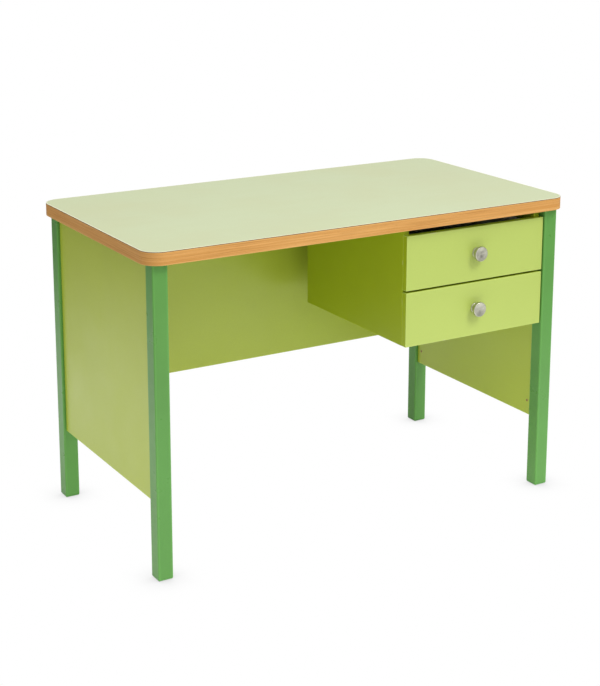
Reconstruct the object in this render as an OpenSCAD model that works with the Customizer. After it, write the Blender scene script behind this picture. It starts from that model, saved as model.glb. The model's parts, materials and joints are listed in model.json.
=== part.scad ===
// Teacher desk: a worktop on four square tube legs, modesty panels on three
// sides, and a two-drawer cabinet hung under the right-hand end.
// Millimetres. +X right, +Y back, +Z up. The origin is on the floor, under the
// middle of the worktop. The user sits at -Y.

/* [Worktop] */
// Length of the worktop, left to right
top_w = 1120; // [1060:10:1400]
// Depth of the worktop, front to back
top_d = 600; // [600:10:700]
// Thickness of the worktop
top_t = 30; // [24:1:36]
// Height of the writing surface above the floor
desk_h = 745; // [720:5:780]
// Plan radius of the worktop corners
corner_r = 42; // [20:1:60]
// Thickness of the beech edge band
edge_t = 4; // [2:0.5:6]
// Thickness of the laminate above and the backer below the core
sheet_t = 1; // [0.6:0.1:1.5]

/* [Legs] */
// Outer size of the square leg tube
leg_w = 36; // [32:1:45]
// Wall of the leg tube
leg_wall = 1.5; // [1.2:0.1:2.5]
// Outer corner radius of the leg tube
leg_r = 3; // [2:0.5:5]
// Side of the worktop to the outer face of a leg
leg_inset_x = 18; // [10:1:40]
// Front or rear of the worktop to the outer face of a leg
leg_inset_y = 17; // [10:1:20]

/* [Panels] */
// Thickness of the side and back panels
panel_t = 22; // [18:1:25]
// Floor to the lower edge of the side panels
side_panel_z = 175; // [100:5:300]
// Floor to the lower edge of the back panel
back_panel_z = 272; // [150:2:400]

/* [Drawer cabinet] */
// Outer width of the cabinet and of its drawer fronts
cab_w = 400; // [360:5:420]
// Depth of the cabinet sides
cab_d = 428; // [424:1:450]
// Thickness of the cabinet boards and the drawer fronts
board_t = 16; // [15:1:18]
// Thickness of the cabinet back
back_t = 8; // [6:1:10]
// Gap between the drawer fronts and the front right leg
cab_leg_gap = 2; // [2:0.5:4]
// Recess between the worktop and the upper drawer front
recess_h = 19; // [17:0.5:24]
// Height of a drawer front
front_h = 131; // [131:0.5:140]
// Gap between the two drawer fronts
front_gap = 5; // [2.5:0.5:6.5]
// Drawer fronts behind the front face of the legs
front_setback = 4.5; // [3:0.5:10]

/* [Drawers] */
// Thickness of the drawer box boards
box_t = 12; // [12:1:13]
// Height of the drawer box
box_h = 95; // [90:1:98]
// Length of the drawer box
box_d = 390; // [350:5:400]
// Thickness of the drawer bottom
bottom_t = 3; // [3:0.5:4]

/* [Knobs] */
// Diameter of the knob head
knob_d = 36; // [30:1:40]
// Diameter of the knob foot
knob_foot_d = 25; // [20:1:36]
// Diameter of the knob waist
knob_waist_d = 21; // [16:1:30]
// How far the knob stands out of the front
knob_len = 21.5; // [16:0.5:21.5]
// Knob centre above the lower edge of the front
knob_rise = 68; // [64:0.5:70]

/* [Runners] */
// Thickness of the runner sheet steel
sheet_steel_t = 1.2; // [1:0.1:1.2]
// Diameter of the nylon rollers
roller_d = 21; // [20:0.5:21]
// Width of the nylon rollers
roller_w = 7; // [6:0.5:7]
// Diameter of the roller axles
axle_d = 4; // [3.5:0.1:4.5]

/* [Hidden] */
$fn = 48;

// Drawer numbers
LOWER = 0;
UPPER = 1;
// Sides of the desk, and sides of the cabinet
LEFT = -1;
RIGHT = 1;
// Turns that point a +Z shape another way
UP = [0, 0, 0];
TO_RIGHT = [0, 90, 0];
TO_LEFT = [0, -90, 0];
TO_BACK = [-90, 0, 0];
TO_FRONT = [90, 0, 0];
function outward(side) = side == RIGHT ? TO_RIGHT : TO_LEFT;

// Main planes
under_z = desk_h - top_t;
leg_x = top_w / 2 - leg_inset_x - leg_w / 2;
leg_y = top_d / 2 - leg_inset_y - leg_w / 2;
inner_x = leg_x - leg_w / 2;
inner_y = leg_y - leg_w / 2;

// Leg closures
foot_t = 5;
foot_plug_h = 12;
top_cap_t = 2;

// Panel fixings: a lug welded to the leg enters a slot in the panel's end
lug_t = 3;
lug_len = 35;
lug_h = 40;
lug_edge = 36;
lug_screw_in = 16;

// Steel angle brackets under the worktop
bracket_w = 40;
bracket_leg = 30;
bracket_t = 2;
bracket_hole_in = 18;
bracket_hole_side = 11;
left_bracket_ys = [-150, 150];
right_bracket_ys = [190];
back_bracket_xs = [-330, 40, 400];

// Wood screws
screw_r = 2;
screw_head_r = 3.8;
screw_head_h = 2;
screw_tip = 3;
panel_screw_len = 18;
bracket_screw_len = 16;
rail_screw_len = 36;
box_screw_len = 25;
runner_screw_len = 10;
runner_head_h = 1.2;
runner_head_r = 3.2;

// Cabinet
cab_right = inner_x - cab_leg_gap;
cab_left = cab_right - cab_w;
cab_mid = (cab_left + cab_right) / 2;
front_y = -leg_y - leg_w / 2 + front_setback;
front_seat = 0.5;
carcass_front = front_y + board_t + front_seat;
carcass_rear = carcass_front + cab_d;
cab_z = under_z - recess_h - 2 * front_h - front_gap;
in_left = cab_left + board_t;
in_right = cab_right - board_t;
in_rear = carcass_rear - back_t;
rail_d = 80;
rail_setback = 30;
dowel_r = 4;
dowel_in_side = 10;
dowel_len = 30;
bottom_dowel_ys = [-200, -50, 100];
rail_dowel_off = 22;
rail_screw_off = 110;

// Drawer boxes
runner_space = 12.5;
box_left = in_left + runner_space;
box_right = in_right - runner_space;
box_front = front_y + board_t;
box_rear = box_front + box_d;
box_rise = 26;
groove_d = 5;
groove_z = 10;
box_screw_zs = [40, 75];
front_screw_off = 120;
front_screw_zs = [25, 75];
function front_z(i) = cab_z + i * (front_h + front_gap);
function box_z(i) = front_z(i) + box_rise;

// Knobs
knob_foot_h = 2;
knob_waist_y = 9;
knob_head_t = 8;
knob_edge = 1;
knob_bore_d = 8;
knob_screw_head_r = 4;
knob_screw_head_h = 2.5;

// Runners, measured from the cabinet side's inner face and the channel's base
side_drop = 2;
channel_h = 24;
channel_lip = 10.4;
channel_front = carcass_front + 2;
channel_notch = 34;
channel_screw_ys = [-215, -65, 100];
slide_web = runner_space - sheet_steel_t;
slide_top = 25.8;
slide_base = 0.8;
slide_lip = 1.8;
slide_screw_z = 19;
slide_screw_ys = [-220, -70, 80];
roller_in = 2.4;
rear_roller_z = channel_h / 2;
front_roller_z = slide_top - sheet_steel_t - 0.3 - roller_d / 2;
front_roller_y = channel_front + channel_notch / 2;
rear_roller_y = box_rear - 15;
roller_bore_play = 0.05;
axle_head_r = 3.2;
axle_play = 0.3;
axle_head_t = 0.6;
rear_axle_tip = 1.6;
function runner_z(i) = box_z(i) - side_drop;

// Colours
LAMINATE = [0.81, 0.85, 0.71];
CORE = [0.78, 0.66, 0.47];
BEECH = [0.86, 0.64, 0.41];
LEG_GREEN = [0.36, 0.65, 0.33];
PANEL_OLIVE = [0.58, 0.63, 0.24];
FRONT_LIME = [0.76, 0.84, 0.43];
STEEL = [0.72, 0.73, 0.74];
ZINC = [0.72, 0.62, 0.38];
NYLON = [0.93, 0.93, 0.90];
BOX_WHITE = [0.90, 0.90, 0.87];

// ---------------------------------------------------------------- helpers

// A box from one corner to the opposite one
module block(low, high) {
    translate(low) cube(high - low);
}

// A rectangle with round corners
module round_rect(w, d, r) {
    square([w - 2 * r, d], center = true);
    square([w, d - 2 * r], center = true);
    for (x = [-1, 1], y = [-1, 1]) {
        translate([x * (w / 2 - r), y * (d / 2 - r)]) circle(r);
    }
}

// A vertical bar with round edges, from z0 to z1
module round_bar(w, d, r, z0, z1) {
    translate([0, 0, z0]) linear_extrude(z1 - z0) round_rect(w, d, r);
}

// A shape standing at p and turned by one of the turns above
module aim(p, turn) {
    translate(p) rotate(turn) children();
}

// A countersunk wood screw, its head's face at z = 0, driven towards +Z
module wood_screw(len, head_r = screw_head_r, head_h = screw_head_h) {
    rotate_extrude() polygon([
        [0, 0], [head_r, 0], [screw_r, head_h],
        [screw_r, len - screw_tip], [0, len]
    ]);
}

// Mirrors a shape that is drawn for the cabinet's left side
module on_side(side) {
    if (side == LEFT) children();
    else translate([2 * cab_mid, 0, 0]) mirror([1, 0, 0]) children();
}

// ---------------------------------------------------------------- worktop

module worktop_plate(inset, z0, z1) {
    round_bar(top_w - 2 * inset, top_d - 2 * inset, corner_r - inset, z0, z1);
}

module worktop_core() {
    color(CORE) difference() {
        worktop_plate(edge_t, under_z + sheet_t, desk_h - sheet_t);
        bracket_top_screw_set();
        rail_screw_set();
    }
}

// The laminate also covers the top of the edge band
module worktop_laminate() {
    color(LAMINATE) worktop_plate(0, desk_h - sheet_t, desk_h);
}

module worktop_backer() {
    color(LAMINATE) difference() {
        worktop_plate(edge_t, under_z, under_z + sheet_t);
        bracket_top_screw_set();
        rail_screw_set();
    }
}

module worktop_edge_band() {
    color(BEECH) difference() {
        worktop_plate(0, under_z, desk_h - sheet_t);
        worktop_plate(edge_t, under_z - 1, desk_h);
    }
}

// ------------------------------------------------------------------- legs

module leg(x, y) {
    bore_w = leg_w - 2 * leg_wall;
    color(LEG_GREEN) translate([x * leg_x, y * leg_y, 0]) difference() {
        round_bar(leg_w, leg_w, leg_r, foot_t, under_z - top_cap_t);
        round_bar(bore_w, bore_w, leg_r - leg_wall, 0, under_z);
    }
}

module at_legs() {
    for (x = [-1, 1], y = [-1, 1]) {
        translate([x * leg_x, y * leg_y, 0]) children();
    }
}

module leg_foot_caps() {
    plug_w = leg_w - 2 * leg_wall;
    color(LEG_GREEN) at_legs() {
        round_bar(leg_w, leg_w, leg_r, 0, foot_t);
        round_bar(plug_w, plug_w, leg_r - leg_wall, foot_t, foot_t + foot_plug_h);
    }
}

module leg_top_caps() {
    color(LEG_GREEN) at_legs() {
        round_bar(leg_w, leg_w, leg_r, under_z - top_cap_t, under_z);
    }
}

// ----------------------------------------------------------------- panels

// Heights of the two fixings of a panel whose lower edge is at z
function lug_zs(z) = [z + lug_edge, under_z - lug_edge];

module side_lug_set(side) {
    for (y = [-1, 1], z = lug_zs(side_panel_z)) {
        translate([side * leg_x, y * (inner_y - lug_len / 2), z]) {
            cube([lug_t, lug_len, lug_h], center = true);
        }
    }
}

module back_lug_set() {
    for (x = [-1, 1], z = lug_zs(back_panel_z)) {
        translate([x * (inner_x - lug_len / 2), leg_y, z]) {
            cube([lug_len, lug_t, lug_h], center = true);
        }
    }
}

// Side panels are screwed from inside
module side_screw_set(side) {
    for (y = [-1, 1], z = lug_zs(side_panel_z)) {
        aim([side * (leg_x - panel_t / 2), y * (inner_y - lug_screw_in), z], outward(side)) {
            wood_screw(panel_screw_len);
        }
    }
}

// The back panel is screwed from behind
module back_screw_set() {
    for (x = [-1, 1], z = lug_zs(back_panel_z)) {
        aim([x * (inner_x - lug_screw_in), leg_y + panel_t / 2, z], TO_FRONT) {
            wood_screw(panel_screw_len);
        }
    }
}

module panel_screws() {
    color(ZINC) {
        side_screw_set(LEFT);
        side_screw_set(RIGHT);
        back_screw_set();
    }
}

module panel_lugs() {
    color(LEG_GREEN) difference() {
        union() {
            side_lug_set(LEFT);
            side_lug_set(RIGHT);
            back_lug_set();
        }
        side_screw_set(LEFT);
        side_screw_set(RIGHT);
        back_screw_set();
    }
}

module side_panel(side) {
    mid = side * leg_x;
    color(PANEL_OLIVE) difference() {
        block([mid - panel_t / 2, -inner_y, side_panel_z], [mid + panel_t / 2, inner_y, under_z]);
        side_lug_set(side);
        side_screw_set(side);
        side_bracket_screw_set(side);
    }
}

module back_panel() {
    low = [-inner_x, leg_y - panel_t / 2, back_panel_z];
    high = [inner_x, leg_y + panel_t / 2, under_z];
    color(PANEL_OLIVE) difference() {
        block(low, high);
        back_lug_set();
        back_screw_set();
        back_bracket_screw_set();
    }
}

// ------------------------------------------------------- worktop brackets

// One angle bracket against a wall at y = 0 that rises to z = 0
module angle_bracket() {
    block([-bracket_w / 2, -bracket_leg, -bracket_t], [bracket_w / 2, 0, 0]);
    block([-bracket_w / 2, -bracket_t, -bracket_leg], [bracket_w / 2, 0, -bracket_t]);
}

module bracket_top_screws() {
    for (x = [-1, 1]) {
        aim([x * bracket_hole_side, -bracket_hole_in, -bracket_t], UP) wood_screw(bracket_screw_len);
    }
}

module bracket_wall_screws() {
    for (x = [-1, 1]) {
        aim([x * bracket_hole_side, -bracket_t, -bracket_hole_in], TO_BACK) {
            wood_screw(bracket_screw_len);
        }
    }
}

// Places children at the brackets of one side panel
module at_side_brackets(side) {
    for (y = side == LEFT ? left_bracket_ys : right_bracket_ys) {
        translate([side * (leg_x - panel_t / 2), y, under_z]) rotate([0, 0, -90 * side]) children();
    }
}

module at_back_brackets() {
    for (x = back_bracket_xs) {
        translate([x, leg_y - panel_t / 2, under_z]) children();
    }
}

module side_bracket_screw_set(side) {
    at_side_brackets(side) bracket_wall_screws();
}

module back_bracket_screw_set() {
    at_back_brackets() bracket_wall_screws();
}

module bracket_top_screw_set() {
    at_side_brackets(LEFT) bracket_top_screws();
    at_side_brackets(RIGHT) bracket_top_screws();
    at_back_brackets() bracket_top_screws();
}

module drilled_bracket() {
    difference() {
        angle_bracket();
        bracket_top_screws();
        bracket_wall_screws();
    }
}

module worktop_brackets() {
    color(STEEL) {
        at_side_brackets(LEFT) drilled_bracket();
        at_side_brackets(RIGHT) drilled_bracket();
        at_back_brackets() drilled_bracket();
    }
}

module worktop_bracket_screws() {
    color(STEEL) {
        bracket_top_screw_set();
        side_bracket_screw_set(LEFT);
        side_bracket_screw_set(RIGHT);
        back_bracket_screw_set();
    }
}

// ---------------------------------------------------------------- cabinet

front_rail_y = carcass_front + rail_setback + rail_d / 2;
rear_rail_y = in_rear - rail_d / 2;
rail_z = under_z - board_t;

// One dowel across the joint of a cabinet side with a board between the sides
module dowel(side, y, z) {
    on_side(side) aim([in_left - dowel_in_side, y, z], TO_RIGHT) cylinder(h = dowel_len, r = dowel_r);
}

module dowel_set(side) {
    for (y = bottom_dowel_ys) {
        dowel(side, y, cab_z + board_t / 2);
    }
    for (rail_y = [front_rail_y, rear_rail_y], off = [-1, 1]) {
        dowel(side, rail_y + off * rail_dowel_off, rail_z + board_t / 2);
    }
}

module cabinet_dowels() {
    color(CORE) {
        dowel_set(LEFT);
        dowel_set(RIGHT);
    }
}

module rail_screw_set() {
    for (y = [front_rail_y, rear_rail_y], x = [-1, 1]) {
        aim([cab_mid + x * rail_screw_off, y, rail_z], UP) wood_screw(rail_screw_len);
    }
}

module cabinet_rail_screws() {
    color(ZINC) rail_screw_set();
}

module cabinet_side(side) {
    color(PANEL_OLIVE) difference() {
        on_side(side) block([cab_left, carcass_front, cab_z], [in_left, carcass_rear, under_z]);
        dowel_set(side);
        channel_screw_set(LOWER, side);
        channel_screw_set(UPPER, side);
    }
}

module cabinet_bottom() {
    color(PANEL_OLIVE) difference() {
        block([in_left, carcass_front, cab_z], [in_right, in_rear, cab_z + board_t]);
        dowel_set(LEFT);
        dowel_set(RIGHT);
    }
}

module cabinet_back() {
    color(PANEL_OLIVE) block([in_left, in_rear, cab_z], [in_right, carcass_rear, under_z]);
}

module cabinet_rail(y) {
    color(PANEL_OLIVE) difference() {
        block([in_left, y - rail_d / 2, rail_z], [in_right, y + rail_d / 2, under_z]);
        dowel_set(LEFT);
        dowel_set(RIGHT);
        rail_screw_set();
    }
}

// ----------------------------------------- cabinet half of the roller runners

// Channel screwed to a cabinet side; its upper lip is cut back for the roller
module channel(i, side) {
    base = [in_left, channel_front, runner_z(i)];
    inner = [channel_lip, box_d, channel_h - sheet_steel_t];
    difference() {
        on_side(side) translate(base) difference() {
            cube([channel_lip, box_d, channel_h]);
            block([sheet_steel_t, -1, sheet_steel_t], inner + [1, 1, 0]);
            block([sheet_steel_t, -1, sheet_steel_t], [channel_lip + 1, channel_notch, channel_h + 1]);
        }
        channel_screw_set(i, side);
        front_axle(i, side);
    }
}

module channel_screw_set(i, side) {
    on_side(side) for (y = channel_screw_ys) {
        aim([in_left + sheet_steel_t, y, runner_z(i) + rear_roller_z], TO_LEFT) {
            wood_screw(runner_screw_len, runner_head_r, runner_head_h);
        }
    }
}

// Axle riveted in the channel: shoulder, shank and head
module front_axle(i, side) {
    shoulder = roller_in - axle_play;
    head = roller_in + roller_w + axle_play;
    on_side(side) aim([in_left, front_roller_y, runner_z(i) + front_roller_z], TO_RIGHT) {
        cylinder(h = head, r = axle_d / 2);
        translate([0, 0, sheet_steel_t]) cylinder(h = shoulder - sheet_steel_t, r = axle_head_r);
        translate([0, 0, head]) cylinder(h = axle_head_t, r = axle_head_r);
    }
}

module cabinet_runners(i) {
    color(STEEL) {
        channel(i, LEFT);
        channel(i, RIGHT);
    }
}

module cabinet_runner_axles() {
    color(STEEL) for (i = [LOWER, UPPER], side = [LEFT, RIGHT]) {
        front_axle(i, side);
    }
}

module cabinet_runner_screws() {
    color(ZINC) for (i = [LOWER, UPPER], side = [LEFT, RIGHT]) {
        channel_screw_set(i, side);
    }
}

module roller(y, z, side) {
    on_side(side) aim([in_left + roller_in, y, z], TO_RIGHT) difference() {
        cylinder(h = roller_w, r = roller_d / 2);
        translate([0, 0, -1]) cylinder(h = roller_w + 2, r = axle_d / 2 + roller_bore_play);
    }
}

module rollers(y, z) {
    color(NYLON) for (side = [LEFT, RIGHT]) {
        roller(y, z, side);
    }
}

// ----------------------------------------------------------- drawer boxes

module drawer_bottom_plate(i) {
    z = box_z(i) + groove_z;
    low = [box_left + box_t - groove_d, box_front + box_t - groove_d, z];
    high = [box_right - box_t + groove_d, box_rear, z + bottom_t];
    block(low, high);
}

// Screws through the drawer sides into the inner front and the back
module box_screw_set(i, side) {
    on_side(side) for (y = [box_front + box_t / 2, box_rear - box_t / 2], z = box_screw_zs) {
        aim([box_left, y, box_z(i) + z], TO_RIGHT) wood_screw(box_screw_len);
    }
}

// Screws through the inner front into the drawer front
module front_screw_set(i) {
    for (x = [-1, 1], z = front_screw_zs) {
        aim([cab_mid + x * front_screw_off, box_front + box_t, box_z(i) + z], TO_FRONT) {
            wood_screw(box_screw_len);
        }
    }
}

module knob_screw(i) {
    aim([cab_mid, box_front + box_t, front_z(i) + knob_rise], TO_FRONT) {
        cylinder(h = box_t + board_t + knob_bore_d, r = screw_r);
        translate([0, 0, -knob_screw_head_h]) cylinder(h = knob_screw_head_h, r = knob_screw_head_r);
    }
}

module drawer_front(i) {
    color(FRONT_LIME) difference() {
        block([cab_left, front_y, front_z(i)], [cab_right, box_front, front_z(i) + front_h]);
        front_screw_set(i);
        knob_screw(i);
    }
}

module drawer_inner_front(i) {
    low = [box_left + box_t, box_front, box_z(i)];
    high = [box_right - box_t, box_front + box_t, box_z(i) + box_h];
    color(BOX_WHITE) difference() {
        block(low, high);
        drawer_bottom_plate(i);
        front_screw_set(i);
        knob_screw(i);
        box_screw_set(i, LEFT);
        box_screw_set(i, RIGHT);
    }
}

module drawer_side(i, side) {
    low = [box_left, box_front, box_z(i)];
    high = [box_left + box_t, box_rear, box_z(i) + box_h];
    color(BOX_WHITE) difference() {
        on_side(side) block(low, high);
        drawer_bottom_plate(i);
        box_screw_set(i, side);
        slide_screw_set(i, side);
    }
}

module drawer_back(i) {
    low = [box_left + box_t, box_rear - box_t, box_z(i) + groove_z + bottom_t];
    high = [box_right - box_t, box_rear, box_z(i) + box_h];
    color(BOX_WHITE) difference() {
        block(low, high);
        box_screw_set(i, LEFT);
        box_screw_set(i, RIGHT);
    }
}

module drawer_bottom(i) {
    color(BOX_WHITE) drawer_bottom_plate(i);
}

module drawer_screws(i) {
    color(ZINC) {
        box_screw_set(i, LEFT);
        box_screw_set(i, RIGHT);
        front_screw_set(i);
    }
}

// Turned knob: foot, waist and a flat round head
module drawer_knob(i) {
    foot_r = knob_foot_d / 2;
    waist_r = knob_waist_d / 2;
    head_r = knob_d / 2;
    head_z = knob_len - knob_head_t;
    color(STEEL) difference() {
        aim([cab_mid, front_y, front_z(i) + knob_rise], TO_FRONT) rotate_extrude() polygon([
            [0, 0], [foot_r, 0], [foot_r, knob_foot_h], [waist_r, knob_waist_y],
            [head_r - knob_edge, head_z], [head_r, head_z + knob_edge],
            [head_r, knob_len - knob_edge], [head_r - knob_edge, knob_len], [0, knob_len]
        ]);
        knob_screw(i);
    }
}

module drawer_knob_screw(i) {
    color(STEEL) knob_screw(i);
}

// ------------------------------------------ drawer half of the roller runners

// Profile on a drawer side: foot under the side, web, and a lip over the roller
module drawer_runner(i, side) {
    base = [in_left, box_front, runner_z(i)];
    foot_out = runner_space + box_t;
    color(STEEL) difference() {
        on_side(side) translate(base) {
            block([slide_web, 0, slide_base], [runner_space, box_d, slide_top]);
            block([slide_lip, 0, slide_top - sheet_steel_t], [slide_web, box_d, slide_top]);
            block([runner_space, 0, slide_base], [foot_out, box_d, side_drop]);
        }
        slide_screw_set(i, side);
        rear_axle(i, side);
    }
}

module slide_screw_set(i, side) {
    on_side(side) for (y = slide_screw_ys) {
        aim([in_left + slide_web, y, runner_z(i) + slide_screw_z], TO_RIGHT) {
            wood_screw(runner_screw_len, runner_head_r, runner_head_h);
        }
    }
}

// Axle riveted in the drawer's web: shank, shoulder and head
module rear_axle(i, side) {
    shoulder = roller_in + roller_w + axle_play;
    on_side(side) translate([in_left, rear_roller_y, runner_z(i) + rear_roller_z]) rotate(TO_RIGHT) {
        translate([0, 0, rear_axle_tip]) cylinder(h = runner_space - rear_axle_tip, r = axle_d / 2);
        translate([0, 0, shoulder]) cylinder(h = slide_web - shoulder, r = axle_head_r);
        translate([0, 0, rear_axle_tip]) cylinder(h = roller_in - axle_play - rear_axle_tip, r = axle_head_r);
    }
}

module drawer_axles(i) {
    color(STEEL) for (side = [LEFT, RIGHT]) {
        rear_axle(i, side);
    }
}

module drawer_runner_screws(i) {
    color(ZINC) for (side = [LEFT, RIGHT]) {
        slide_screw_set(i, side);
    }
}

// ------------------------------------------------------------------- nodes

worktop_core();
worktop_laminate();
worktop_backer();
worktop_edge_band();
leg(-1, -1);  // leg_front_left
leg(1, -1);  // leg_front_right
leg(-1, 1);  // leg_rear_left
leg(1, 1);  // leg_rear_right
leg_foot_caps();
leg_top_caps();
panel_lugs();
panel_screws();
side_panel(LEFT);  // left_side_panel
side_panel(RIGHT);  // right_side_panel
back_panel();
worktop_brackets();
worktop_bracket_screws();
cabinet_side(LEFT);  // cabinet_left_side
cabinet_side(RIGHT);  // cabinet_right_side
cabinet_bottom();
cabinet_back();
cabinet_rail(front_rail_y);  // cabinet_front_rail
cabinet_rail(rear_rail_y);  // cabinet_rear_rail
cabinet_dowels();
cabinet_rail_screws();
cabinet_runners(UPPER);  // upper_cabinet_runners
cabinet_runners(LOWER);  // lower_cabinet_runners
cabinet_runner_axles();
cabinet_runner_screws();
rollers(front_roller_y, runner_z(UPPER) + front_roller_z);  // upper_front_rollers
rollers(front_roller_y, runner_z(LOWER) + front_roller_z);  // lower_front_rollers

drawer_front(UPPER);  // upper_drawer_front
drawer_inner_front(UPPER);  // upper_drawer_inner_front
drawer_side(UPPER, LEFT);  // upper_drawer_left_side
drawer_side(UPPER, RIGHT);  // upper_drawer_right_side
drawer_back(UPPER);  // upper_drawer_back
drawer_bottom(UPPER);  // upper_drawer_bottom
drawer_knob(UPPER);  // upper_drawer_knob
drawer_knob_screw(UPPER);  // upper_drawer_knob_screw
drawer_screws(UPPER);  // upper_drawer_screws
drawer_runner(UPPER, LEFT);  // upper_drawer_left_runner
drawer_runner(UPPER, RIGHT);  // upper_drawer_right_runner
drawer_runner_screws(UPPER);  // upper_drawer_runner_screws
drawer_axles(UPPER);  // upper_drawer_axles
rollers(rear_roller_y, runner_z(UPPER) + rear_roller_z);  // upper_rear_rollers

drawer_front(LOWER);  // lower_drawer_front
drawer_inner_front(LOWER);  // lower_drawer_inner_front
drawer_side(LOWER, LEFT);  // lower_drawer_left_side
drawer_side(LOWER, RIGHT);  // lower_drawer_right_side
drawer_back(LOWER);  // lower_drawer_back
drawer_bottom(LOWER);  // lower_drawer_bottom
drawer_knob(LOWER);  // lower_drawer_knob
drawer_knob_screw(LOWER);  // lower_drawer_knob_screw
drawer_screws(LOWER);  // lower_drawer_screws
drawer_runner(LOWER, LEFT);  // lower_drawer_left_runner
drawer_runner(LOWER, RIGHT);  // lower_drawer_right_runner
drawer_runner_screws(LOWER);  // lower_drawer_runner_screws
drawer_axles(LOWER);  // lower_drawer_axles
rollers(rear_roller_y, runner_z(LOWER) + rear_roller_z);  // lower_rear_rollers
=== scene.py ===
"""Looks of the teacher desk: finished meshes, materials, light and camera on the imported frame."""

import json
import math
import random

import bmesh
import bpy
import numpy as np
from mathutils import Matrix, Vector

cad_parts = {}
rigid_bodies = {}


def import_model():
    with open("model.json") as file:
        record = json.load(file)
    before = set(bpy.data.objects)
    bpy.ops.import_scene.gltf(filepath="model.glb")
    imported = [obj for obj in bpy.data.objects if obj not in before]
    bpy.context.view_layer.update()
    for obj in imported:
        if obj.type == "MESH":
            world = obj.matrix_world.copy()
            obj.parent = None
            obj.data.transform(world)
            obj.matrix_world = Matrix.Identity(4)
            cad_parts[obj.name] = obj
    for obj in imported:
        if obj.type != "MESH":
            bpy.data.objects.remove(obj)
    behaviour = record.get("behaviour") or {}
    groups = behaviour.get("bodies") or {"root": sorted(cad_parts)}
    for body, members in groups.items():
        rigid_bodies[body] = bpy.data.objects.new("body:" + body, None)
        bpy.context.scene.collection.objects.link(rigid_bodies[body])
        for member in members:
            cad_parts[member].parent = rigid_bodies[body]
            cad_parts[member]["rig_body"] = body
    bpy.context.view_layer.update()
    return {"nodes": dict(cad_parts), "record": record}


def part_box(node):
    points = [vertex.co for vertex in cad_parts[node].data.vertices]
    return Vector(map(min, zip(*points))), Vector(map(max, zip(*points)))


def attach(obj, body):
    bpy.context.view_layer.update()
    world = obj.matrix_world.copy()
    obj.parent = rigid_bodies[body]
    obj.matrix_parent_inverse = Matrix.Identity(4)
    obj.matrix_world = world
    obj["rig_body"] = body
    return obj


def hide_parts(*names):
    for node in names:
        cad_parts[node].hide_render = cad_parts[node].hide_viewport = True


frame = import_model()

MM = 0.001
NODES = frame["nodes"]
SLOT_OF = {part["node"]: part["material_slot"] for part in frame["record"]["subparts"]}
LEVELS = ("upper", "lower")
LEFT, RIGHT = -1, 1

# ------------------------------------------------------------------ camera

# Place in m, then degrees, the focal length in mm, and a shift in widths of the picture
CAMERA_PLACE = (-1.829, -3.054, 1.514)
CAMERA_AZIMUTH = -30.68
CAMERA_ELEVATION = 12.74
CAMERA_ROLL = 0.07
CAMERA_LENS = 79.37
CAMERA_SHIFT_Y = -0.1895


def make_camera():
    """The photo's camera, solved on the desk's straight edges."""
    a, e = math.radians(CAMERA_AZIMUTH), math.radians(CAMERA_ELEVATION)
    back = Vector((math.sin(a) * math.cos(e), -math.cos(a) * math.cos(e), math.sin(e)))
    right = Vector((0, 0, 1)).cross(back).normalized()
    up = back.cross(right)
    roll = math.radians(CAMERA_ROLL)
    across = right * math.cos(roll) + up * math.sin(roll)
    axes = Matrix((across, back.cross(across), back)).transposed()
    data = bpy.data.cameras.new("camera")
    data.lens = CAMERA_LENS
    data.shift_y = CAMERA_SHIFT_Y
    camera = bpy.data.objects.new("camera", data)
    camera.matrix_world = Matrix.Translation(CAMERA_PLACE) @ axes.to_4x4()
    bpy.context.scene.collection.objects.link(camera)
    bpy.context.scene.camera = camera


# ------------------------------------------------------------- node graphs

# A mix node names its number, vector and colour sockets alike, so colours go by number
MIX_COLOURS = (6, 7)
MIX_RESULT = 2


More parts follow.
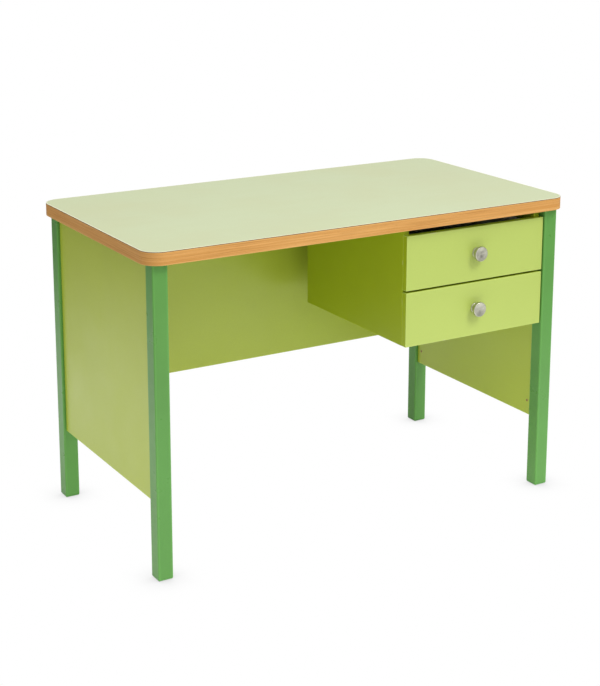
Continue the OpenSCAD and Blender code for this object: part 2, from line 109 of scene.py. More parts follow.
class Graph:
    """A node tree, with short calls for what the finishes and the sky share."""

    def __init__(self, owner):
        owner.use_nodes = True
        self.tree = owner.node_tree
        self.tree.nodes.clear()

    def node(self, kind, **settings):
        made = self.tree.nodes.new(kind)
        for key, value in settings.items():
            setattr(made, key, value)
        return made

    def link(self, source, target):
        self.tree.links.new(source, target)

    def feed(self, target, value):
        """Links a node's output to a socket, or sets the socket to a number or colour."""
        if isinstance(value, bpy.types.NodeSocket):
            self.link(value, target)
        elif isinstance(value, tuple):
            target.default_value = (*value, 1.0)
        else:
            target.default_value = value

    def place(self, source="Object", stretch=(1, 1, 1)):
        """Coordinates in metres, multiplied by stretch."""
        mapping = self.node("ShaderNodeMapping")
        mapping.inputs["Scale"].default_value = stretch
        self.link(self.node("ShaderNodeTexCoord").outputs[source], mapping.inputs["Vector"])
        return mapping.outputs["Vector"]

    def noise(self, place, scale=1.0, detail=3.0, roughness=0.5):
        made = self.node("ShaderNodeTexNoise")
        self.link(place, made.inputs["Vector"])
        made.inputs["Scale"].default_value = scale
        made.inputs["Detail"].default_value = detail
        made.inputs["Roughness"].default_value = roughness
        return made.outputs["Fac"]

    def attribute(self, name):
        return self.node("ShaderNodeAttribute", attribute_name=name).outputs["Fac"]

    def times(self, a, b):
        made = self.node("ShaderNodeMath", operation="MULTIPLY")
        self.feed(made.inputs[0], a)
        self.feed(made.inputs[1], b)
        return made.outputs["Value"]

    def spread(self, value, low, high, out_low=0.0, out_high=1.0):
        """Maps low..high to out_low..out_high and clamps."""
        made = self.node("ShaderNodeMapRange")
        self.link(value, made.inputs["Value"])
        made.inputs["From Min"].default_value = low
        made.inputs["From Max"].default_value = high
        made.inputs["To Min"].default_value = out_low
        made.inputs["To Max"].default_value = out_high
        return made.outputs["Result"]

    def mix(self, share, a, b):
        """Runs from colour a to colour b as share goes from 0 to 1."""
        made = self.node("ShaderNodeMix", data_type="RGBA")
        self.feed(made.inputs["Factor"], share)
        self.feed(made.inputs[MIX_COLOURS[0]], a)
        self.feed(made.inputs[MIX_COLOURS[1]], b)
        return made.outputs[MIX_RESULT]

    def bump(self, height, depth, strength=1.0, under=None):
        """A relief, depth metres high, laid over another if under is given."""
        made = self.node("ShaderNodeBump")
        self.link(height, made.inputs["Height"])
        made.inputs["Distance"].default_value = depth
        made.inputs["Strength"].default_value = strength
        if under is not None:
            self.link(under, made.inputs["Normal"])
        return made.outputs["Normal"]


class Finish(Graph):
    """A material of one principled shader."""

    def __init__(self, name):
        self.material = bpy.data.materials.new(name)
        super().__init__(self.material)
        self.shader = self.node("ShaderNodeBsdfPrincipled")
        output = self.node("ShaderNodeOutputMaterial")
        self.link(self.shader.outputs["BSDF"], output.inputs["Surface"])

    def constants(self, **values):
        """Sets sockets to numbers, with _ for the spaces of their names."""
        for key, value in values.items():
            self.shader.inputs[key.replace("_", " ")].default_value = value

    def surface(self, colour, roughness, normal):
        """Feeds the three sockets that every finish has its own maps for."""
        self.feed(self.shader.inputs["Base Color"], colour)
        self.feed(self.shader.inputs["Roughness"], roughness)
        self.link(normal, self.shader.inputs["Normal"])
        return self.material


def tint(colour, factor):
    """The colour made darker or lighter."""
    return tuple(min(1.0, channel * factor) for channel in colour)


# --------------------------------------------------------------- materials
# The meshes carry three measures from 0 to 1. Edge is 1 on an arris. Core is 1 on the
# laminate's cut edge, a dark line along the band's top under it and a board's edging. Deep is
# 1 at the bottom of a screw's recess, where shade is painted.

LAMINATE = (0.578, 0.640, 0.400)
LAMINATE_WARM = (0.575, 0.615, 0.372)
# A painted highlight for the laminate's trimmed rim
LAMINATE_RIM_HIGHLIGHT = (0.83, 0.81, 0.60)
LAMINATE_CORE = (0.130, 0.070, 0.026)
BACKER = (0.58, 0.60, 0.50)
BEECH_LIGHT = (0.715, 0.397, 0.134)
BEECH_MID = (0.575, 0.270, 0.068)
BEECH_DARK = (0.300, 0.115, 0.022)
GREEN = (0.098, 0.281, 0.057)
OLIVE = (0.428, 0.515, 0.036)
# Painted shade: the lime melamine darkened and made more saturated, for the cabinet under the
# worktop and for the drawer fronts' edging
LIME_IN_PAINTED_SHADE = (0.343, 0.424, 0.007)
# LIME is paler and bluer than the melamine itself, with a painted whitish reflection mixed in
LIME = (0.446, 0.552, 0.118)
DRAWER_WHITE = (0.78, 0.78, 0.74)
DRAWER_BASE = (0.80, 0.80, 0.76)
DUST = (0.55, 0.50, 0.38)
STEEL_GROOVE, STEEL_RIDGE = (0.30, 0.295, 0.240), (0.70, 0.690, 0.580)
STEEL_MARK = (0.38, 0.375, 0.330)
ZINC, ZINC_DULL = (0.66, 0.67, 0.68), (0.48, 0.50, 0.52)
YELLOW_ZINC, YELLOW_ZINC_DULL = (0.50, 0.31, 0.12), (0.32, 0.21, 0.12)
EPOXY, EPOXY_RUBBED = (0.80, 0.80, 0.77), (0.52, 0.52, 0.50)
NYLON_PALE, NYLON_GREY = (0.86, 0.86, 0.81), (0.76, 0.76, 0.70)
FLAKE_PALE, FLAKE_DARK, FLAKE_DUST = (0.64, 0.48, 0.28), (0.36, 0.22, 0.10), (0.72, 0.58, 0.37)
DOWEL_PALE, DOWEL_DARK = (0.68, 0.49, 0.29), (0.50, 0.33, 0.17)


def melamine(name, colour, roughness=0.40, arris_highlight=1.12, ior=1.6, edging=None):
    """Printed board with a fine pearl texture, an edging strip, and arrises with a painted
    highlight and dusty scuffs.
    """
    g = Finish(name)
    place = g.place()
    edge = g.attribute("edge")
    speck = g.noise(place, 750, 3)
    cloud = g.spread(g.noise(place, 2.5, 4), 0.35, 0.65)
    tone = g.mix(cloud, tint(colour, 0.96), tint(colour, 1.02))
    tone = g.mix(g.spread(speck, 0.35, 0.7, 0, 0.5), tone, tint(colour, 0.84))
    # Painted highlight: the arrises are lightened as if catching the light
    tone = g.mix(g.times(edge, 0.75), tone, tint(colour, arris_highlight))
    # On the drawer fronts the edging colour is painted shade
    tone = g.mix(g.attribute("core"), tone, edging or tint(colour, 1.04))
    scuff = g.spread(g.noise(place, 34, 6, 0.7), 0.60, 0.72, 0, 0.5)
    tone = g.mix(g.times(scuff, edge), tone, DUST)
    rough = g.spread(g.noise(place, 9, 5, 0.6), 0.3, 0.7, roughness - 0.04, roughness + 0.05)
    g.constants(IOR=ior)
    pearl = g.bump(speck, 0.11 * MM)
    return g.surface(tone, rough, g.bump(g.noise(place, 22, 2), 0.35 * MM, 0.5, pearl))


def worktop_laminate():
    """Pale green high-pressure laminate with a satin texture, a dark cut edge and a painted
    highlight on its rim.
    """
    g = Finish("worktop_laminate")
    place = g.place()
    speck = g.noise(place, 900, 3)
    cloud = g.spread(g.noise(place, 4.5, 5), 0.38, 0.62)
    tone = g.mix(cloud, LAMINATE_WARM, LAMINATE)
    fleck = g.spread(g.noise(place, 420, 3), 0.45, 0.7, 0, 0.25)
    tone = g.mix(fleck, tone, tint(LAMINATE, 1.10))
    tone = g.mix(g.spread(speck, 0.35, 0.7, 0, 0.35), tone, tint(LAMINATE, 0.86))
    # Painted highlight: the trimmed rim of the laminate is lightened towards pale cream
    tone = g.mix(g.times(g.attribute("edge"), 0.8), tone, LAMINATE_RIM_HIGHLIGHT)
    tone = g.mix(g.attribute("core"), tone, LAMINATE_CORE)
    g.constants(Specular_IOR_Level=0.4)
    rubbed = g.noise(g.place(stretch=(1, 5, 1)), 3.0, 7, 0.65)
    rough = g.spread(rubbed, 0.3, 0.75, 0.42, 0.54)
    satin = g.bump(g.noise(place, 240, 3), 0.06 * MM)
    return g.surface(tone, rough, g.bump(speck, 0.08 * MM, under=satin))


def beech_edge():
    """Lacquered beech with its grain running round the worktop."""
    g = Finish("beech_edge")
    warp = g.node("ShaderNodeTexNoise")
    g.link(g.place("UV", (2.2, 30, 1)), warp.inputs["Vector"])
    bend = g.node("ShaderNodeVectorMath", operation="MULTIPLY_ADD")
    g.link(warp.outputs["Color"], bend.inputs[0])
    bend.inputs[1].default_value = (0, 3.5 * MM, 0)
    g.link(g.place("UV"), bend.inputs[2])

    def fibre(along, across, detail):
        """Noise in the wavy grain, at so many to the metre along it and across it."""
        mapping = g.node("ShaderNodeMapping")
        mapping.inputs["Scale"].default_value = (along, across, 1)
        g.link(bend.outputs["Vector"], mapping.inputs["Vector"])
        return g.noise(mapping.outputs["Vector"], 1.0, detail, 0.55)

    rings = fibre(2.0, 360, 3)
    streak = fibre(6, 900, 3)
    pore = fibre(90, 2600, 2)
    plank = g.spread(fibre(1.1, 22, 2), 0.35, 0.7, 0, 0.45)
    ray = g.spread(fibre(160, 900, 1), 0.66, 0.75, 0, 0.35)
    tone = g.mix(g.spread(rings, 0.34, 0.64), BEECH_LIGHT, BEECH_MID)
    tone = g.mix(plank, tone, tint(BEECH_MID, 0.88))
    tone = g.mix(g.spread(streak, 0.50, 0.70, 0, 0.55), tone, BEECH_DARK)
    tone = g.mix(g.spread(pore, 0.60, 0.72, 0, 0.5), tone, BEECH_DARK)
    tone = g.mix(ray, tone, tint(BEECH_LIGHT, 1.12))
    tone = g.mix(g.times(g.attribute("edge"), 0.35), tone, tint(BEECH_LIGHT, 1.15))
    tone = g.mix(g.attribute("core"), tone, LAMINATE_CORE)
    g.constants(Specular_IOR_Level=0.15)
    rough = g.spread(streak, 0.3, 0.7, 0.42, 0.56)
    return g.surface(tone, rough, g.bump(pore, 0.04 * MM, under=g.bump(rings, 0.05 * MM)))


def powder_coat():
    """Green powder coat with orange peel, thinner and chipped on the tubes' corners."""
    g = Finish("leg_paint")
    place = g.place()
    edge = g.attribute("edge")
    cloud = g.spread(g.noise(place, 6, 4), 0.35, 0.65)
    tone = g.mix(cloud, tint(GREEN, 0.95), tint(GREEN, 1.06))
    tone = g.mix(g.times(edge, 0.5), tone, tint(GREEN, 1.28))
    chip = g.times(g.spread(g.noise(place, 160, 5, 0.75), 0.74, 0.76), g.spread(edge, 0.8, 1.0))
    tone = g.mix(g.times(chip, 0.4), tone, tint(GREEN, 0.45))
    g.constants(IOR=1.38)
    rough = g.spread(g.noise(place, 30, 4), 0.3, 0.7, 0.27, 0.36)
    broad = g.bump(g.noise(place, 40, 2), 0.2 * MM, 0.4)
    return g.surface(tone, rough, g.bump(g.noise(place, 620, 2, 0.4), 0.1 * MM, 0.8, broad))


def turned_steel():
    """Lathe-turned stainless steel, with fine rings round the knob's axis."""
    g = Finish("knob_steel")
    rings = g.noise(g.place("UV", (0.02, 1, 1)), 9000, 3, 0.6)
    broad = g.noise(g.place("UV", (0.01, 1, 1)), 1500, 2)
    mark = g.spread(g.noise(g.place(), 90, 4), 0.5, 0.8, 0, 0.25)
    tone = g.mix(g.spread(rings, 0.35, 0.65), STEEL_GROOVE, STEEL_RIDGE)
    tone = g.mix(mark, tone, STEEL_MARK)
    tangent = g.node("ShaderNodeTangent", direction_type="RADIAL", axis="Y")
    g.link(tangent.outputs["Tangent"], g.shader.inputs["Tangent"])
    g.constants(Metallic=1.0, Anisotropic=0.85)
    rough = g.spread(broad, 0.3, 0.7, 0.30, 0.42)
    return g.surface(tone, rough, g.bump(rings, 0.03 * MM))


def plated(name, colour, dull):
    """Zinc-plated steel, mottled as bulk plating is."""
    g = Finish(name)
    place = g.place()
    tone = g.mix(g.spread(g.noise(place, 190, 4), 0.35, 0.7), colour, dull)
    # Painted shade: the bottom of a cross recess is darkened nearly to black
    tone = g.mix(g.times(g.attribute("deep"), 0.9), tone, tint(dull, 0.12))
    g.constants(Metallic=1.0)
    rough = g.spread(g.noise(place, 420, 4), 0.3, 0.7, 0.28, 0.44)
    return g.surface(tone, rough, g.bump(g.noise(place, 1500, 2), 0.02 * MM, 0.8))


def epoxy_steel():
    """White epoxy-coated runner steel, with grey rub marks along the travel."""
    g = Finish("runner_steel")
    place = g.place()
    rub = g.spread(g.noise(g.place(stretch=(900, 6, 900)), 1.0, 4, 0.6), 0.56, 0.75, 0, 0.5)
    tone = g.mix(rub, EPOXY, EPOXY_RUBBED)
    rough = g.spread(g.noise(place, 60, 3), 0.3, 0.7, 0.30, 0.42)
    return g.surface(tone, rough, g.bump(g.noise(place, 900, 2), 0.04 * MM, 0.8))


def nylon():
    """Off-white moulded nylon."""
    g = Finish("nylon")
    place = g.place()
    cloud = g.spread(g.noise(place, 150, 3), 0.35, 0.65)
    tone = g.mix(cloud, NYLON_PALE, NYLON_GREY)
    rough = g.spread(g.noise(place, 300, 3), 0.3, 0.7, 0.38, 0.50)
    return g.surface(tone, rough, g.bump(g.noise(place, 1800, 2), 0.03 * MM))


def chipboard():
    """Cut chipboard: pale and dark flakes, pressed flat."""
    g = Finish("chipboard")
    place = g.place()
    flake = g.node("ShaderNodeTexVoronoi")
    g.link(g.place(stretch=(420, 420, 1050)), flake.inputs["Vector"])
    flake.inputs["Scale"].default_value = 1.0
    tone = g.mix(flake.outputs["Color"], FLAKE_PALE, FLAKE_DARK)
    tone = g.mix(g.spread(g.noise(place, 700), 0.5, 0.8, 0, 0.6), tone, FLAKE_DUST)
    rough = g.spread(g.noise(place, 500), 0.3, 0.7, 0.75, 0.92)
    return g.surface(tone, rough, g.bump(flake.outputs["Distance"], 0.3 * MM))


def dowel_wood():
    """Turned beech with its grain along the dowels."""
    g = Finish("dowel_wood")
    fibre = g.noise(g.place(stretch=(60, 900, 900)), 1.0, 4)
    tone = g.mix(g.spread(fibre, 0.35, 0.65), DOWEL_PALE, DOWEL_DARK)
    return g.surface(tone, g.spread(fibre, 0.3, 0.7, 0.6, 0.8), g.bump(fibre, 0.1 * MM))


MATERIALS = {
    "worktop_laminate": worktop_laminate(),
    "backer_laminate": melamine("backer_laminate", BACKER, 0.55),
    "beech_edge": beech_edge(),
    "chipboard": chipboard(),
    "dowel_wood": dowel_wood(),
    "leg_paint": powder_coat(),
    "panel_melamine": melamine("panel_melamine", OLIVE, 0.36),
    # The cabinet's colour and the drawer fronts' edging are painted shade
    "cabinet_melamine": melamine("cabinet_melamine", LIME_IN_PAINTED_SHADE, 0.45, ior=1.42),
    "front_melamine": melamine("front_melamine", LIME, 0.40, 1.05, ior=1.48, edging=LIME_IN_PAINTED_SHADE),
    "drawer_board": melamine("drawer_board", DRAWER_WHITE, 0.45, 1.05),
    "drawer_bottom_board": melamine("drawer_bottom_board", DRAWER_BASE, 0.32),
    "knob_steel": turned_steel(),
    "runner_steel": epoxy_steel(),
    "zinc_steel": plated("zinc_steel", ZINC, ZINC_DULL),
    "screw_zinc": plated("screw_zinc", YELLOW_ZINC, YELLOW_ZINC_DULL),
    "nylon": nylon(),
}

# ------------------------------------------------------------- mesh making

CREASE = math.radians(50)
# The corners of a level rectangle about its middle, anticlockwise
CORNER_SIGNS = ((1, 1), (-1, 1), (-1, -1), (1, -1))
# The least corner radius of an inset rectangle
TIGHTEST = 0.6 * MM
# The most of a side that the rounding of one corner may take
SIDE_SHARE = 0.45
# Blender's number for a bevel that is a true arc
ARC = 0.5
BOARD_SEGMENTS = 3
BOARD_RIM = 4 * MM
# A board's face is edging if it is narrower than this; its rim is a share of its width
EDGING_WIDTH = 25 * MM
EDGING_RIM = 0.08
# A bevelled board's faces whose normals lie this closely along an axis are its six sides
SQUARE_ON = 0.9999


def show(bm, node):
    """Makes the finished piece of a CAD node: it rides on the node's body, in its slot."""
    bmesh.ops.recalc_face_normals(bm, faces=bm.faces)
    mesh = bpy.data.meshes.new(node + ".finished")
    bm.to_mesh(mesh)
    bm.free()
    mesh.polygons.foreach_set("use_smooth", [True] * len(mesh.polygons))
    mesh.set_sharp_from_angle(angle=CREASE)
    mesh.materials.append(MATERIALS[SLOT_OF[node]])
    piece = bpy.data.objects.new(node + ".finished", mesh)
    bpy.context.scene.collection.objects.link(piece)
    flats = piece.modifiers.new("flats", "WEIGHTED_NORMAL")
    flats.keep_sharp = True
    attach(piece, NODES[node]["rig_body"])
    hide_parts(node)


def vertex_layer(bm, name):
    """One of the measures on the mesh's points, made if it isn't there yet."""
    return bm.verts.layers.float.get(name) or bm.verts.layers.float.new(name)


def loft(bm, rings, wear_and_highlight=None, core=None, caps=False, joined=False):
    """Skins rings of points, with UVs in metres round the rings and along the path.

    wear and core give each ring its edge and core measures: a number, or a list with
    one for each of its points. caps closes the two ends, and joined joins the last ring
    to the first."""
    # The edge measure is thinned, chipped paint on the legs, lighter eased arrises on the band and
    # a painted highlight on the laminate's rim.
    layers = [(vertex_layer(bm, "edge"), wear_and_highlight), (vertex_layer(bm, "core"), core)]
    rings = [[Vector(point) for point in ring] for ring in rings]
    verts = [[bm.verts.new(point) for point in ring] for ring in rings]
    for layer, values in layers:
        for ring, value in zip(verts, values or []):
            for i, v in enumerate(ring):
                v[layer] = value[i] if isinstance(value, list) else value
    count = len(rings[0])
    uv = bm.loops.layers.uv.get("UVMap") or bm.loops.layers.uv.new("UVMap")
    sides = [[(ring[(i + 1) % count] - ring[i]).length for i in range(count)] for ring in rings]
    around = np.cumsum([0.0] + max(sides, key=sum))
    following = rings[1:] + ([rings[0]] if joined else [])
    along = np.cumsum([0.0] + [(b[0] - a[0]).length for a, b in zip(rings, following)])
    for i in range(len(following)):
        low, high = verts[i], verts[(i + 1) % len(verts)]
        for j in range(count):
            k = (j + 1) % count
            face = bm.faces.new((low[j], low[k], high[k], high[j]))
            for loop, (u, v) in zip(face.loops, ((j, i), (j + 1, i), (j + 1, i + 1), (j, i + 1))):
                loop[uv].uv = (around[u], along[v])
    if caps:
        bm.faces.new(verts[0])
        bm.faces.new(verts[-1])
    return verts


def rounded_ring(low, high, radius, inset, z, steps, rim=None):
    """A level rectangle with round corners, inset from a box.

    With rim, each corner has one more point on either side, that far along the straight."""
    ring = []
    turned = max(radius - inset, TIGHTEST)
    for corner, (sx, sy) in enumerate(CORNER_SIGNS):
        cx = (high[0] if sx > 0 else low[0]) - sx * (inset + turned)
        cy = (high[1] if sy > 0 else low[1]) - sy * (inset + turned)
        headings = [math.radians(90 * corner + 90 * i / steps) for i in range(steps + 1)]
        turn = [Vector((math.cos(a), math.sin(a), 0)) * turned for a in headings]
        if rim is not None:
            ahead = Vector((-math.sin(headings[0]), math.cos(headings[0]), 0)) * rim
            onward = Vector((-math.sin(headings[-1]), math.cos(headings[-1]), 0)) * rim
            turn = [turn[0] - ahead, *turn, turn[-1] + onward]
        ring += [Vector((cx, cy, z)) + point for point in turn]
    return ring


def board(node, radius):
    """A board with rounded arrises, whose painted highlight and scuffs fade over the rim of each
    face.
    """
    low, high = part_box(node)
    size, middle = high - low, (high + low) / 2
    bm = bmesh.new()
    edge_layer, core_layer = vertex_layer(bm, "edge"), vertex_layer(bm, "core")
    corners = bmesh.ops.create_cube(bm, size=1.0)["verts"]
    for v in corners:
        v.co = Vector(c * s for c, s in zip(v.co, size)) + middle
    edges = list({edge for v in corners for edge in v.link_edges})
    bmesh.ops.bevel(
        bm, geom=edges, offset=radius, segments=BOARD_SEGMENTS, profile=ARC, affect="EDGES"
    )
    for v in bm.verts:
        v[edge_layer] = 1.0
    for face in list(bm.faces):
        face.normal_update()
        if max(abs(c) for c in face.normal) > SQUARE_ON:
            width = min(edge.calc_length() for edge in face.edges)
            is_edging = width < EDGING_WIDTH
            rim = EDGING_RIM * width if is_edging else BOARD_RIM
            bmesh.ops.inset_individual(bm, faces=[face], thickness=rim)
            for v in face.verts:
                v[edge_layer] = 0.0
                v[core_layer] = float(is_edging)
    show(bm, node)


def frame_on(origin, direction):
    """A frame whose Z runs along a direction from an origin."""
    turn = Vector(direction).to_track_quat("Z", "Y").to_matrix().to_4x4()
    return Matrix.Translation(origin) @ turn


def circle(place, radius, z, count):
    """A ring of points about the Z of a frame."""
    steps = [2 * math.pi * i / count for i in range(count)]
    return [place @ Vector((radius * math.cos(a), radius * math.sin(a), z)) for a in steps]


def rounded_profile(corners, radius, steps=4):
    """An outline with each inner corner of a polyline rounded off."""
    points = [Vector(corner) for corner in corners]
    outline = [points[0]]
    for before, corner, after in zip(points, points[1:], points[2:]):
        back, ahead = before - corner, after - corner
        reach = min(radius, back.length * SIDE_SHARE, ahead.length * SIDE_SHARE)
        start = corner + back.normalized() * reach
        stop = corner + ahead.normalized() * reach
        for i in range(steps + 1):
            t = i / steps
            outline.append(start * (1 - t) ** 2 + corner * 2 * t * (1 - t) + stop * t**2)
    return outline + [points[-1]]


# ----------------------------------------------------------------- worktop

TOP_CORNER = 42 * MM
TOP_STEPS = 18
# The band's thickness in mm, less a hair that keeps it clear of the core
BAND_WIDE = 3.95
# Each step of a section is an inset and a height in mm, then the edge and core measures
LAMINATE_STEPS = (
    (4.00, 0.00, 0, 1), (0.35, 0.00, 0, 1), (0.25, 0.10, 0, 1), (0.12, 0.60, 0, 1),
    (0.10, 0.62, 1, 0), (0.35, 0.80, 1, 0), (0.90, 0.95, 1, 0), (2.20, 1.00, 1, 0),
    (3.40, 1.00, 0, 0), (30.0, 1.00, 0, 0),
)


def height_in_mm(node):
    low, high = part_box(node)
    return (high.z - low.z) / MM


def band_steps(top):
    """Eased arrises, and a dark line along the top arris, under the laminate."""
    return (
        (BAND_WIDE, 0.0, 0, 0), (0.8, 0.0, 1, 0), (0.23, 0.23, 1, 0), (0.0, 0.8, 1, 0),
        (0.0, 3.0, 0, 0), (0.0, top - 3.0, 0, 0), (0.0, top - 0.85, 0.6, 0),
        (0.05, top - 0.75, 0, 1), (0.25, top - 0.25, 0, 1), (0.8, top, 0, 1),
        (BAND_WIDE, top, 0, 1),
    )


def backer_steps(top):
    """An eased lower arris, and a square one against the core."""
    return (
        (5.0, 0.0, 0, 0), (0.3, 0.0, 0, 0), (0.0, 0.3, 0, 0), (0.0, top, 0, 0), (5.0, top, 0, 0),
    )


def top_layer(node, steps, corner=TOP_CORNER, **ends):
    """One layer of the worktop, or its band, lofted up through the steps of its section."""
    low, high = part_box(node)
    rings = [
        rounded_ring(low, high, corner, inset * MM, low.z + height * MM, TOP_STEPS)
        for inset, height, _, _ in steps
    ]
    bm = bmesh.new()
    loft(bm, rings, [step[2] for step in steps], [step[3] for step in steps], **ends)
    show(bm, node)


def worktop():
    """Laminate with a trimmed, rounded rim, a solid band, and a plain backer."""
    top_layer("worktop_laminate", LAMINATE_STEPS, caps=True)
    top_layer("worktop_edge_band", band_steps(height_in_mm("worktop_edge_band")), joined=True)
    backer = backer_steps(height_in_mm("worktop_backer"))
    top_layer("worktop_backer", backer, corner=TOP_CORNER - BAND_WIDE * MM, caps=True)


# -------------------------------------------------------------------- legs

LEG_CORNER = 3 * MM
LEG_WALL = 1.5 * MM
LEG_EASE = 0.25 * MM
LEG_STEPS = 5
LEG_RIM = 2.5 * MM
LEG_WEAR = ([0.0] + [1.0] * (LEG_STEPS + 1) + [0.0]) * len(CORNER_SIGNS)
LEGS = ("leg_front_left", "leg_front_right", "leg_rear_left", "leg_rear_right")
# Each step of a cap is an inset and a height in mm; the foot's last three plug the tube
FOOT_STEPS = (
    (4.4, 0.0), (3.0, 0.3), (1.8, 0.95), (0.8, 2.0), (0.2, 3.3), (0.0, 4.4), (0.0, 4.8),
    (0.25, 5.0), (1.6, 5.0), (1.6, 16), (2.4, 17),
)
TOP_CAP_STEPS = ((0.4, 0.0), (0.0, 0.3), (0.0, 1.7), (0.3, 2.0))


def leg(node):
    """A square tube with rounded corners and eased ends."""
    low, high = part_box(node)
    steps = (
        (LEG_EASE, low.z), (0, low.z + LEG_EASE), (0, high.z - LEG_EASE), (LEG_EASE, high.z),
        (LEG_WALL, high.z), (LEG_WALL, low.z),
    )
    rings = [
        rounded_ring(low, high, LEG_CORNER, inset, z, LEG_STEPS, LEG_RIM) for inset, z in steps
    ]
    bm = bmesh.new()
    loft(bm, rings, [LEG_WEAR] * len(steps), joined=True)
    show(bm, node)


def leg_caps(node, steps):
    """The closures of one end of the four tubes."""
    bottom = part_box(node)[0].z
    bm = bmesh.new()
    for tube in LEGS:
        low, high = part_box(tube)
        rings = [
            rounded_ring(low, high, LEG_CORNER, inset * MM, bottom + z * MM, LEG_STEPS, LEG_RIM)
            for inset, z in steps
        ]
        loft(bm, rings, [LEG_WEAR] * len(steps), caps=True)
    show(bm, node)


# ------------------------------------------------------------------ boards

# Each board's node, or its part of the name, and the radius of its arrises in mm
BOARDS = (
    ("left_side_panel", 1.0), ("right_side_panel", 1.0), ("back_panel", 1.0),
    ("cabinet_left_side", 0.6), ("cabinet_right_side", 0.6), ("cabinet_bottom", 0.6),
    ("cabinet_back", 0.4), ("cabinet_front_rail", 0.6), ("cabinet_rear_rail", 0.6),
)
DRAWER_BOARDS = (
    ("drawer_front", 1.0), ("drawer_inner_front", 0.8), ("drawer_left_side", 0.8),
    ("drawer_right_side", 0.8), ("drawer_back", 0.8), ("drawer_bottom", 0.3),
)

# ------------------------------------------------------------------- knobs

KNOB_PROFILE = (
    # radius and distance from the drawer front in mm, from the foot to the dished face
    (0.2, 0.0), (12.5, 0.0), (12.5, 1.6), (11.4, 2.6), (10.6, 5.0), (10.9, 8.4), (13.2, 11.2),
    (16.6, 12.8), (18.0, 14.6), (18.0, 19.9), (16.6, 21.5), (15.2, 21.3), (8.0, 20.1), (0.2, 19.7),
)
KNOB_ROUND = 0.9 * MM
KNOB_COUNT = 72


def knob(node):
    """A turned knob with a waist and a dished face."""
    low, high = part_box(node)
    place = frame_on(((low.x + high.x) / 2, high.y, (low.z + high.z) / 2), (0, -1, 0))
    outline = rounded_profile([(r * MM, z * MM) for r, z in KNOB_PROFILE], KNOB_ROUND)
    bm = bmesh.new()
    loft(bm, [circle(place, r, z, KNOB_COUNT) for r, z in outline], caps=True)
    show(bm, node)


# ------------------------------------------------------------------ screws

SHANK = 2.0 * MM
THREAD_ROOT = 1.5 * MM
THREAD_PITCH = 1.8 * MM
# From a head's underside to where the thread's root starts
NECK = 0.1 * MM
# The radius and length of a screw's end
WOOD_TIP = (0.15 * MM, 3.0 * MM)
MACHINE_TIP = (1.4 * MM, 0.3 * MM)
# A head's crown: its height over the rim, and its radius as a share of the rim's
CROWN = 0.24 * MM
CROWN_SHARE = 0.86
# A cross recess: the reach and half width of its arms in head radii, and its height over
# the rim
CROSS_MOUTH = (0.58, 0.15, 0.35 * MM)
CROSS_BOTTOM = (0.50, 0.11, 0.06 * MM)
SCREW_COUNT = 20
SHORTEST_SCREW = 5 * MM
# How far apart two points of the CAD may be and still count as one
WELD = 0.01 * MM
# How closely a point of the CAD is matched with a plane or a radius
SLACK = 0.05 * MM
# A pan head's underside goes at least this far beyond the shank
PAN_STEP = 0.5 * MM
turns = random.Random(7)


def islands(node):
    """The points of each separate solid of a CAD node."""
    bm = bmesh.new()
    bm.from_mesh(NODES[node].data)
    bmesh.ops.remove_doubles(bm, verts=bm.verts, dist=WELD)
    bm.verts.ensure_lookup_table()
    seen = set()
    for start in bm.verts:
        if start.index in seen:
            continue
        seen.add(start.index)
        found, front = [], [start]
        while front:
            v = front.pop()
            found.append(tuple(v.co))
            near = [edge.other_vert(v) for edge in v.link_edges]
            near = [other for other in near if other.index not in seen]
            seen.update(other.index for other in near)
            front += set(near)
        yield np.array(found)
    bm.free()


def cross_outline(bm, place, head_radius, cross):
    """The twelve corners of a cross on the head."""
    reach, width, height = cross[0] * head_radius, cross[1] * head_radius, cross[2]
    corners = []
    for c, s in ((1, 0), (0, 1), (-1, 0), (0, -1)):
        for x, y in ((reach, -width), (reach, width), (width, width)):
            corners.append(bm.verts.new(place @ Vector((c * x - s * y, s * x + c * y, -height))))
    return corners


def recess(bm, place, head_radius, rim):
    """A cross recess in a head, and the face between its mouth and the crown's rim."""
    mouth = cross_outline(bm, place, head_radius, CROSS_MOUTH)
    bottom = cross_outline(bm, place, head_radius, CROSS_BOTTOM)
    deep = vertex_layer(bm, "deep")
    for v in bottom:
        v[deep] = 1.0
    for i in range(len(mouth)):
        bm.faces.new((mouth[i - 1], mouth[i], bottom[i], bottom[i - 1]))
    bm.faces.new(bottom)
    outer = [bm.edges.get((rim[i - 1], rim[i])) for i in range(len(rim))]
    inner = [bm.edges.get((mouth[i - 1], mouth[i])) for i in range(len(mouth))]
    bmesh.ops.triangle_fill(bm, edges=outer + inner, use_beauty=True)


def screw(bm, place, length, head_radius, head_height, pan):
    """A cross-recessed screw along the Z of a frame on the surface that it is driven into."""
    tip_radius, tip = MACHINE_TIP if pan else WOOD_TIP
    profile = [
        (CROWN_SHARE * head_radius, -CROWN), (head_radius, 0.0),
        (head_radius if pan else SHANK, head_height), (THREAD_ROOT, head_height + NECK),
    ]
    z = head_height + THREAD_PITCH
    while z < length - tip - THREAD_PITCH:
        profile += [(THREAD_ROOT, z), (SHANK, z + THREAD_PITCH / 2)]
        z += THREAD_PITCH
    profile += [(THREAD_ROOT, length - tip), (tip_radius, length)]
    rings = loft(bm, [circle(place, r, z, SCREW_COUNT) for r, z in profile])
    bm.faces.new(rings[-1])
    recess(bm, place, head_radius, rings[0])


